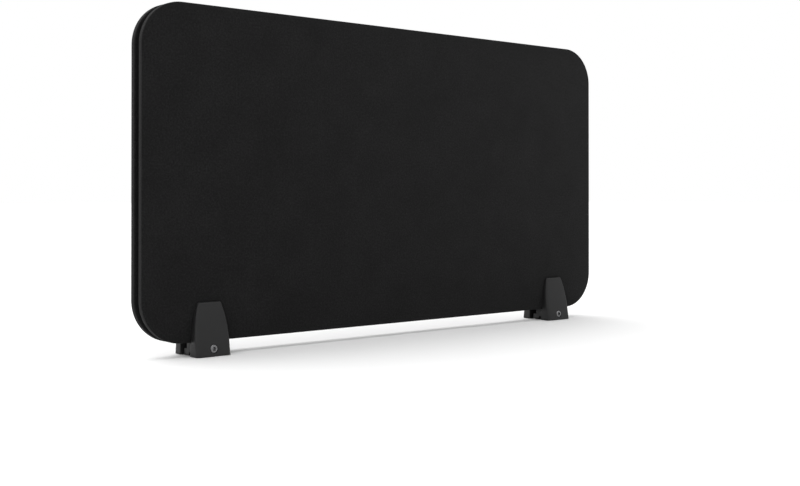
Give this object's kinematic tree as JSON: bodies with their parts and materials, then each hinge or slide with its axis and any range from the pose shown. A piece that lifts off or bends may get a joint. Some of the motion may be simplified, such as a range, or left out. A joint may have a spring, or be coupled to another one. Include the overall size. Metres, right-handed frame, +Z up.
{
  "type": "desk privacy panel",
  "caption": "Free-standing fabric-covered desk privacy panel with rounded corners, held upright by clamp feet with a front screw.",
  "frame": {"origin": "on the desk, under the middle of the panel's thickness and width", "axes": "+X along the panel to the right seen from the screw side, +Y to the rear, +Z up"},
  "size_m": [0.8, 0.0586, 0.432],
  "materials": {
    "fabric": "black matt woven or felted fabric with a fine mottle",
    "felt": "dark grey pressed felt board",
    "board": "fibreboard, painted matt black",
    "plastic": "black moulded plastic with a fine satin texture",
    "steel": "zinc-plated steel",
    "rubber": "black rubber"
  },
  "bodies": {
    "panel": {"front_fabric_cover": "fabric", "rear_fabric_cover": "fabric", "front_felt_board": "felt", "rear_felt_board": "felt", "core_board": "board"},
    "left_foot": {"left_front_jaw": "plastic", "left_front_liner": "rubber", "left_front_glide": "rubber"},
    "left_rear_clamp": {"left_rear_jaw": "plastic", "left_rear_liner": "rubber", "left_rear_glide": "rubber", "left_clamp_nut": "steel"},
    "left_screw": {"left_clamp_screw": "steel"},
    "right_foot": {"right_front_jaw": "plastic", "right_front_liner": "rubber", "right_front_glide": "rubber"},
    "right_rear_clamp": {"right_rear_jaw": "plastic", "right_rear_liner": "rubber", "right_rear_glide": "rubber", "right_clamp_nut": "steel"},
    "right_screw": {"right_clamp_screw": "steel"}
  },
  "joints": [
    {"name": "left_foot_slide", "type": "slide", "parent": "panel", "child": "left_foot", "axis": [1, 0, 0], "range_m": [-0.01, 0.25]},
    {"name": "left_screw_spin", "type": "hinge", "parent": "left_foot", "child": "left_screw", "pos_m": [-0.3105, -0.0227, 0.0095], "axis": [0, -1, 0], "range_deg": [0, 1080]},
    {"name": "left_jaw_slide", "type": "slide", "parent": "left_foot", "child": "left_rear_clamp", "axis": [0, 1, 0], "range_m": [0, 0.003]},
    {"name": "right_foot_slide", "type": "slide", "parent": "panel", "child": "right_foot", "axis": [1, 0, 0], "range_m": [-0.25, 0.01]},
    {"name": "right_screw_spin", "type": "hinge", "parent": "right_foot", "child": "right_screw", "pos_m": [0.3105, -0.0227, 0.0095], "axis": [0, -1, 0], "range_deg": [0, 1080]},
    {"name": "right_jaw_slide", "type": "slide", "parent": "right_foot", "child": "right_rear_clamp", "axis": [0, 1, 0], "range_m": [0, 0.003]}
  ],
  "couplings": [
    {"joint": "left_screw_spin", "follows": "left_jaw_slide", "rad_per_m": 6283.2},
    {"joint": "right_screw_spin", "follows": "right_jaw_slide", "rad_per_m": 6283.2}
  ]
}
